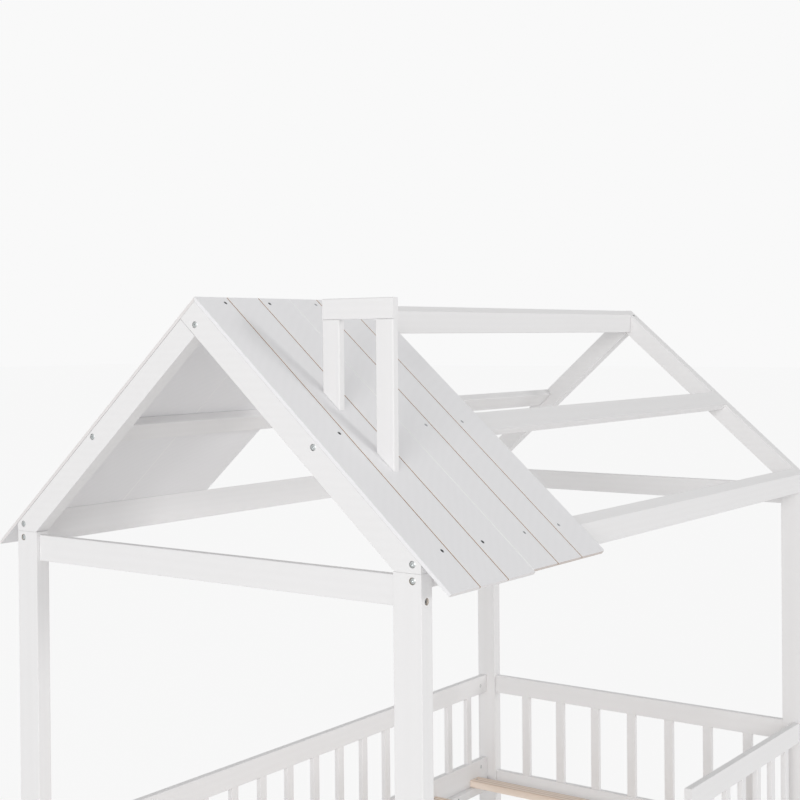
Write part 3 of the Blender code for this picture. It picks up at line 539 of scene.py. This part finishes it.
def bolt_mesh(name, length, made, top=HEAD_TOP):
    """A bolt with its head towards the seat and its thread at the far end."""
    rings = [
        (SOCKET_FLOOR + top, hexagon_profile(SOCKET_RADIUS * SOCKET_FLOOR_SHARE)),
        (top, hexagon_profile(SOCKET_RADIUS)),
        (top, round_profile(HEAD_RADIUS * HEAD_FLAT_SHARE)),
        (top + HEAD_DOME, round_profile(HEAD_RADIUS * HEAD_SHOULDER_SHARE)),
        (top + HEAD_RIM, round_profile(HEAD_RADIUS)),
        (HEAD_SEAT, round_profile(HEAD_RADIUS)),
        (HEAD_SEAT, round_profile(BOLT_SHANK)),
        (THREAD_START, round_profile(BOLT_SHANK)),
    ]
    along = THREAD_START + THREAD_PITCH
    while along < length - THREAD_PITCH:
        rings.append((along - THREAD_PITCH / 2, round_profile(THREAD_CORE)))
        rings.append((along, round_profile(BOLT_SHANK)))
        along += THREAD_PITCH
    rings.append((length, round_profile(THREAD_CORE)))
    return turned_mesh(name, rings, made)


def set_in(name, mesh, seat, inward, replaced=None):
    """Places one fastener with its own X axis pointing into the wood."""
    piece = bpy.data.objects.new(name, mesh)
    bpy.context.scene.collection.objects.link(piece)
    facing = Vector(inward).to_track_quat("X", "Z").to_matrix().to_4x4()
    piece.matrix_world = Matrix.Translation(seat) @ facing
    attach(piece, "root")
    if replaced:
        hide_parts(replaced)


zinc_bolt = zinc("zinc_bolt", BOLT_HEAD_COLOUR, BOLT_SOCKET_HIGHLIGHT_COLOUR, SOCKET_HIGHLIGHT_RADIUS)
# The tie bolts are painted darker as the shade of their deep bores, with a paler socket as a painted
# highlight.
shaded_tie_zinc = zinc("shaded_tie_zinc", TIE_HEAD_SHADE_COLOUR, TIE_SOCKET_HIGHLIGHT_COLOUR, SOCKET_RADIUS)
frame_bolt = bolt_mesh("frame_bolt", BOLT_LENGTH, zinc_bolt)
tie_bolt = bolt_mesh("tie_bolt", TIE_BOLT_LENGTH, shaded_tie_zinc, TIE_HEAD_TOP)
rail_bolt = bolt_mesh("rail_bolt", RAIL_BOLT_LENGTH, zinc_bolt)


# The bolts of the two gables: one through each apex into the ridge beam, one through each rafter into
# its purlin, two at each eave beam, and one across each post top into the tie.
APEX_BOLT_BELOW_RIDGE = 0.038
APEX_BOLT_HEIGHT = RIDGE_HEIGHT - APEX_BOLT_BELOW_RIDGE
PURLIN_BOLT_DOWN = 0.3295
PURLIN_BOLT_DEPTH = 0.0093
FOOT_BOLT_ABOVE_POST = 0.0132
FOOT_BOLT_HEIGHT = POST_HEIGHT + FOOT_BOLT_ABOVE_POST

for end, end_sign in ENDS.items():
    x = end_sign * HALF_LENGTH
    inward = (-end_sign, 0, 0)
    seat = Vector((x, 0, APEX_BOLT_HEIGHT))
    set_in(f"ridge_bolt_{end}_detail", frame_bolt, seat, inward, f"ridge_bolt_{end}")
    for side, side_sign in SIDES_OF_BED.items():
        post = f"{end}_{side}"
        seat = on_roof(side_sign, x, PURLIN_BOLT_DOWN, -PURLIN_BOLT_DEPTH)
        set_in(f"purlin_bolt_{post}_detail", frame_bolt, seat, inward, f"purlin_bolt_{post}")
        seat = Vector((x, side_sign * EAVE_BOLT_LINE, FOOT_BOLT_HEIGHT))
        set_in(f"foot_bolt_{post}_detail", frame_bolt, seat, inward, f"foot_bolt_{post}")
        seat = Vector((x, side_sign * EAVE_BOLT_LINE, POST_BOLT_HEIGHT))
        set_in(f"post_bolt_{post}_detail", frame_bolt, seat, inward, f"post_bolt_{post}")
        seat = Vector((end_sign * TIE_LINE, side_sign * HALF_WIDTH, TIE_BOLT_HEIGHT))
        set_in(f"tie_bolt_{post}_detail", tie_bolt, seat, (0, -side_sign, 0), f"tie_bolt_{post}")


# The bolts of the long rails and of the end fences, of the same zinc-plated kind. Each goes through
# its post, into a barrel nut of a long rail or into the end of an end rail, and shows only its head.
SIDE_RAIL_LINE = 0.4125
END_RAIL_LINE = 0.815
SIDE_RAIL_BOLT_HEIGHTS = (0.2526, 0.2020)
SIDE_FENCE_BOLT_HEIGHT = 0.4675
END_BOLT_HEIGHTS = (0.456, 0.2105)


def side_bolt_heights(end_sign, side_sign):
    """The fence bolt is left out at the open entry, where the front fence doesn't reach."""
    has_fence = side_sign > 0 or end_sign > 0
    return SIDE_RAIL_BOLT_HEIGHTS + ((SIDE_FENCE_BOLT_HEIGHT,) if has_fence else ())


for end, end_sign in ENDS.items():
    for side, side_sign in SIDES_OF_BED.items():
        for count, height in enumerate(side_bolt_heights(end_sign, side_sign)):
            seat = Vector((end_sign * HALF_LENGTH, side_sign * SIDE_RAIL_LINE, height))
            set_in(f"side_rail_bolt_{end}_{side}_{count}", rail_bolt, seat, (-end_sign, 0, 0))
        for count, height in enumerate(END_BOLT_HEIGHTS):
            seat = Vector((end_sign * END_RAIL_LINE, side_sign * HALF_WIDTH, height))
            set_in(f"end_rail_bolt_{end}_{side}_{count}", rail_bolt, seat, (0, -side_sign, 0))


# Barrel nuts: short zinc-plated cylinders across the ends of the long rails, each with a slot that
# turns its thread to the bolt. They lie just under the inner face of the rail.
BARREL_FROM_POST = 0.0325
BARREL_RADIUS = 0.0045
BARREL_LENGTH = 0.010
BARREL_SUNK = 0.0003
BARREL_BEVEL = 0.0004
RAIL_INNER_FACE = 0.405
DRIVER_SLOT_HALF = 0.0006
DRIVER_SLOT_SHARE = 0.76
SLOT_FLOOR_SHARE = 0.72
SLOT_TAPER_SHARE = 0.9
NUT_COLOUR = (0.52, 0.53, 0.53)
# The paler middle of the nut's end, around its slot, is a painted highlight.
NUT_SLOT_HIGHLIGHT_COLOUR = (0.80, 0.81, 0.81)


def slot_profile(radius, half):
    """Radii of a driver slot, from its reach along one axis and its half width across it."""
    radii = []
    for k in range(FACETS):
        across = abs(sin(2 * pi * k / FACETS))
        radii.append(min(radius, half / across) if across > 0 else radius)
    return radii


zinc_nut = zinc("zinc_nut", NUT_COLOUR, NUT_SLOT_HIGHLIGHT_COLOUR, BARREL_RADIUS / 2)
slot_floor = slot_profile(BARREL_RADIUS * SLOT_FLOOR_SHARE, DRIVER_SLOT_HALF * SLOT_TAPER_SHARE)
slot_mouth = slot_profile(BARREL_RADIUS * DRIVER_SLOT_SHARE, DRIVER_SLOT_HALF)
barrel_nut = turned_mesh(
    "barrel_nut",
    [
        (BARREL_SUNK + BARREL_BEVEL + BARREL_BEVEL, slot_floor),
        (BARREL_SUNK, slot_mouth),
        (BARREL_SUNK, round_profile(BARREL_RADIUS - BARREL_BEVEL)),
        (BARREL_SUNK + BARREL_BEVEL, round_profile(BARREL_RADIUS)),
        (BARREL_LENGTH - BARREL_BEVEL, round_profile(BARREL_RADIUS)),
        (BARREL_LENGTH, round_profile(BARREL_RADIUS - BARREL_BEVEL)),
    ],
    zinc_nut,
)
for end, end_sign in ENDS.items():
    for side, side_sign in SIDES_OF_BED.items():
        for count, height in enumerate(side_bolt_heights(end_sign, side_sign)):
            x = end_sign * (HALF_LENGTH - POST_DEPTH - BARREL_FROM_POST)
            seat = Vector((x, side_sign * RAIL_INNER_FACE, height))
            set_in(f"barrel_nut_{end}_{side}_{count}", barrel_nut, seat, (0, side_sign, 0))


# The screws of the roof: countersunk wood screws with a cross recess, set just under the surface.
# They go through the panels into the ridge beam, the purlins and the eave beams. Those of the near
# panels are dark, partly as painted shade in their countersinks, and those of the far ones grey.
# Their cross recesses are painted darker as shade.
SCREW_HEAD = 0.0034
SCREW_HEAD_FACE_SHARE = 0.94
SCREW_SHANK = 0.0015
SCREW_CORE = 0.0010
SCREW_POINT_SHARE = 0.15
SCREW_HEAD_DEPTH = 0.0022
SCREW_SUNK = 0.0002
SCREW_PITCH = 0.0018
SCREW_TIP = 0.0030
RECESS_DEPTH = 0.0012
RECESS_ARM = 0.0019
RECESS_WAIST = 0.0008
RECESS_FLOOR_SHARE = 0.6
ROOF_SCREW_LENGTH = 0.018
ROOF_SCREW_ROWS = (0.009, 0.319, 0.569)
ROOF_SCREW_FROM_THIRD = 0.0172
BACK_ROOF_SCREW_SHIFT = 0.008
FIT = 0.0003
# The recess colours are painted shade in the cross recesses, and the dark head of the near screws is
# partly painted shade of their countersinks.
DARK_SHADED_HEAD_COLOUR = (0.10, 0.105, 0.11)
DARK_RECESS_SHADE_COLOUR = (0.05, 0.05, 0.05)
GREY_HEAD_COLOUR = (0.36, 0.37, 0.38)
GREY_RECESS_SHADE_COLOUR = (0.14, 0.14, 0.14)


def cross_profile(size_share):
    """Radii of a cross recess: four arms with waists between them."""
    radii = []
    for k in range(FACETS):
        on_arm = k % (FACETS // 4) == 0
        radii.append((RECESS_ARM if on_arm else RECESS_WAIST) * size_share)
    return radii


def screw_mesh(name, length, made):
    """A countersunk screw with its head towards the seat and its point at the far end."""
    rings = [
        (SCREW_SUNK + RECESS_DEPTH, cross_profile(RECESS_FLOOR_SHARE)),
        (SCREW_SUNK, cross_profile(1.0)),
        (SCREW_SUNK, round_profile(SCREW_HEAD * SCREW_HEAD_FACE_SHARE)),
        (SCREW_SUNK + SCREW_SUNK, round_profile(SCREW_HEAD)),
        (SCREW_SUNK + SCREW_HEAD_DEPTH, round_profile(SCREW_SHANK)),
    ]
    along = SCREW_SUNK + SCREW_HEAD_DEPTH + SCREW_PITCH
    while along < length - SCREW_TIP:
        rings.append((along - SCREW_PITCH / 2, round_profile(SCREW_CORE)))
        rings.append((along, round_profile(SCREW_SHANK)))
        along += SCREW_PITCH
    rings.append((length - SCREW_TIP, round_profile(SCREW_CORE)))
    rings.append((length, round_profile(SCREW_CORE * SCREW_POINT_SHARE)))
    return turned_mesh(name, rings, made)


shaded_dark_screw = zinc("shaded_dark_screw", DARK_SHADED_HEAD_COLOUR, DARK_RECESS_SHADE_COLOUR, RECESS_ARM)
grey_screw = zinc("grey_screw", GREY_HEAD_COLOUR, GREY_RECESS_SHADE_COLOUR, RECESS_WAIST)
roof_screws = (
    screw_mesh("roof_screw_near", ROOF_SCREW_LENGTH, shaded_dark_screw),
    screw_mesh("roof_screw_far", ROOF_SCREW_LENGTH, grey_screw),
)
for side, side_sign in SIDES_OF_BED.items():
    shift = BACK_ROOF_SCREW_SHIFT if side_sign > 0 else 0
    inward = on_roof(side_sign, 0, 0, -1) - on_roof(side_sign, 0, 0, 0)
    for panel, roof_screw in enumerate(roof_screws):
        start = -HALF_LENGTH + panel * PANEL_WIDTH
        lines = (
            start + BOARD_WIDTH - ROOF_SCREW_FROM_THIRD,
            start + PANEL_WIDTH - BOARD_WIDTH + ROOF_SCREW_FROM_THIRD,
        )
        for line, x in enumerate(lines):
            for row, down in enumerate(ROOF_SCREW_ROWS):
                seat = on_roof(side_sign, x + shift, down, FIT + PANEL_THICKNESS)
                set_in(f"roof_screw_{side}_{panel}_{line}_{row}", roof_screw, seat, inward)


# The screws of the apexes: a long dark wood screw goes down through the top of each front rafter,
# which runs through at the ridge, into the back rafter that butts under it. Its head is dark partly
# as painted shade, like those of the near roof panels.
APEX_SCREW_DOWN = 0.018
APEX_SCREW_LENGTH = 0.066
apex_screw = screw_mesh("apex_screw", APEX_SCREW_LENGTH, shaded_dark_screw)
inward = on_roof(-1, 0, 0, -1) - on_roof(-1, 0, 0, 0)
for end, end_sign in ENDS.items():
    seat = on_roof(-1, end_sign * (HALF_LENGTH - POST_DEPTH / 2), APEX_SCREW_DOWN, 0)
    set_in(f"apex_screw_{end}", apex_screw, seat, inward)


# The screws of the bed base: plated wood screws down through the ends of the bed slats into the
# cleats, and through the cleats into the long rails.
BED_BASE_TOP = 0.230
FIRST_SLAT = 0.732
SLAT_STEP = 2 * FIRST_SLAT / (BED_SLATS - 1)
CLEAT_WIDTH = 0.0145
CLEAT_MIDDLE = 0.2022
CLEAT_INNER_FACE = RAIL_INNER_FACE - FIT - CLEAT_WIDTH
SLAT_SCREW_LENGTH = 0.034
CLEAT_SCREW_LENGTH = 0.026
PLATED_HEAD_COLOUR = (0.40, 0.41, 0.41)
# The darker recess colour is painted shade in the cross recess.
PLATED_RECESS_SHADE_COLOUR = (0.16, 0.16, 0.16)
plated_screw = zinc("plated_screw", PLATED_HEAD_COLOUR, PLATED_RECESS_SHADE_COLOUR, RECESS_WAIST)
slat_screw = screw_mesh("slat_screw", SLAT_SCREW_LENGTH, plated_screw)
cleat_screw = screw_mesh("cleat_screw", CLEAT_SCREW_LENGTH, plated_screw)
for side, side_sign in SIDES_OF_BED.items():
    for count in range(BED_SLATS):
        x = -FIRST_SLAT + SLAT_STEP * count
        seat = Vector((x, side_sign * (CLEAT_INNER_FACE + CLEAT_WIDTH / 2), BED_BASE_TOP))
        set_in(f"slat_screw_{side}_{count}", slat_screw, seat, (0, 0, -1))
        if count > 0:
            seat = Vector((x - SLAT_STEP / 2, side_sign * CLEAT_INNER_FACE, CLEAT_MIDDLE))
            set_in(f"cleat_screw_{side}_{count}", cleat_screw, seat, (0, side_sign, 0))


# The screws of the chimney: a plated screw up through the roof panel into each leg, and one down
# through the cap into its top.
CHIMNEY_FROM_END = 0.124
CHIMNEY_LINE = -HALF_LENGTH + CHIMNEY_FROM_END
CHIMNEY_LEGS = (-0.1885, -0.2915)
CHIMNEY_SCREW_UPHILL = 0.0075
CHIMNEY_BELOW_RIDGE = 0.006
CHIMNEY_TOP = RIDGE_HEIGHT + PANEL_THICKNESS / cos(ROOF_PITCH) - CHIMNEY_BELOW_RIDGE
LEG_SCREW_LENGTH = 0.022
CAP_SCREW_LENGTH = 0.052
leg_screw = screw_mesh("leg_screw", LEG_SCREW_LENGTH, plated_screw)
cap_screw = screw_mesh("cap_screw", CAP_SCREW_LENGTH, plated_screw)
outward = on_roof(-1, 0, 0, 1) - on_roof(-1, 0, 0, 0)
for count, y in enumerate(CHIMNEY_LEGS):
    down = (-y - CHIMNEY_SCREW_UPHILL) / cos(ROOF_PITCH) - PANEL_THICKNESS * ROOF_SLOPE
    set_in(f"leg_screw_{count}", leg_screw, on_roof(-1, CHIMNEY_LINE, down, FIT), outward)
    seat = Vector((CHIMNEY_LINE, y, CHIMNEY_TOP))
    set_in(f"cap_screw_{count}", cap_screw, seat, (0, 0, -1))


# The studio: a plain pale floor and an even white surround, brighter near the horizon than overhead.
# A broad lamp beyond the roofed end lights the near gable, a very soft one the open front, and a
# smaller low one from the front right throws the chimney's faint shadow up the roof.
BACKDROP = (0.947, 0.947, 0.947)
SKY_HORIZON = (0.67, 0.67, 0.67)
SKY_TOP = (0.39, 0.39, 0.39)
FLOOR_REACH = 60
FLOOR_SEEN_SHARE = 0.88
FLOOR_GLOW_SHARE = 0.29


def seen_directly(tree):
    """1 where the surface is looked at, straight or in a reflection."""
    path = tree.nodes.new("ShaderNodeLightPath")
    seen = calc(tree, "MAXIMUM", path.outputs["Is Camera Ray"], path.outputs["Is Glossy Ray"])
    return calc(tree, "MAXIMUM", seen, path.outputs["Is Transmission Ray"])


world = bpy.data.worlds.new("studio")
world.use_nodes = True
bpy.context.scene.world = world
sky = world.node_tree
direction = split(sky, sky.nodes.new("ShaderNodeTexCoord").outputs["Generated"])
surround = blended(sky, calc(sky, "MAXIMUM", direction["Z"], 0.0), SKY_HORIZON, SKY_TOP)
surround = blended(sky, seen_directly(sky), surround, BACKDROP)
sky.links.new(surround, sky.nodes["Background"].inputs["Color"])

floor_mesh = bpy.data.meshes.new("floor")
corners = ((-1, -1), (1, -1), (1, 1), (-1, 1))
floor_mesh.from_pydata([(x * FLOOR_REACH, y * FLOOR_REACH, 0) for x, y in corners], [], [(0, 1, 2, 3)])
floor = bpy.data.objects.new("floor", floor_mesh)
bpy.context.scene.collection.objects.link(floor)
floor_finish = bpy.data.materials.new("floor_sheet")
floor_finish.use_nodes = True
tree = floor_finish.node_tree
paper = tree.nodes["Principled BSDF"]
paper.inputs["Roughness"].default_value = 0.9
paper.inputs["Base Color"].default_value = (0.90, 0.90, 0.90, 1)
glow = tree.nodes.new("ShaderNodeEmission")
glow.inputs["Color"].default_value = (0.99, 0.99, 0.99, 1)
mixed = tree.nodes.new("ShaderNodeMixShader")
share = calc(tree, "MULTIPLY", seen_directly(tree), FLOOR_SEEN_SHARE)
tree.links.new(calc(tree, "MAXIMUM", share, FLOOR_GLOW_SHARE), mixed.inputs[0])
tree.links.new(paper.outputs[0], mixed.inputs[1])
tree.links.new(glow.outputs[0], mixed.inputs[2])
tree.links.new(mixed.outputs[0], tree.nodes["Material Output"].inputs["Surface"])
floor_mesh.materials.append(floor_finish)


def pointed(name, data, place, target):
    """Hangs a lamp at a place, turned to a target."""
    lamp = bpy.data.objects.new(name, data)
    aim = (Vector(target) - Vector(place)).to_track_quat("-Z", "Y").to_matrix().to_4x4()
    lamp.matrix_world = Matrix.Translation(place) @ aim
    bpy.context.scene.collection.objects.link(lamp)


gable_light = bpy.data.lights.new("gable_light", "AREA")
gable_light.shape = "RECTANGLE"
gable_light.size = 3.6
gable_light.size_y = 2.8
gable_light.energy = 342
pointed("gable_light", gable_light, place=(-10.2, -3.2, 2.6), target=(0, 0, 0.9))

front_light = bpy.data.lights.new("front_light", "SUN")
front_light.energy = 0.20
front_light.angle = radians(80)
pointed("front_light", front_light, place=(0, -4, 1.3), target=(0, 0, 0.6))

side_light = bpy.data.lights.new("side_light", "SUN")
side_light.energy = 0.48
side_light.angle = radians(12)
pointed("side_light", side_light, place=(1.08, -3.84, 1.5), target=(0, 0, 0.75))

bpy.context.scene.view_settings.view_transform = "Standard"
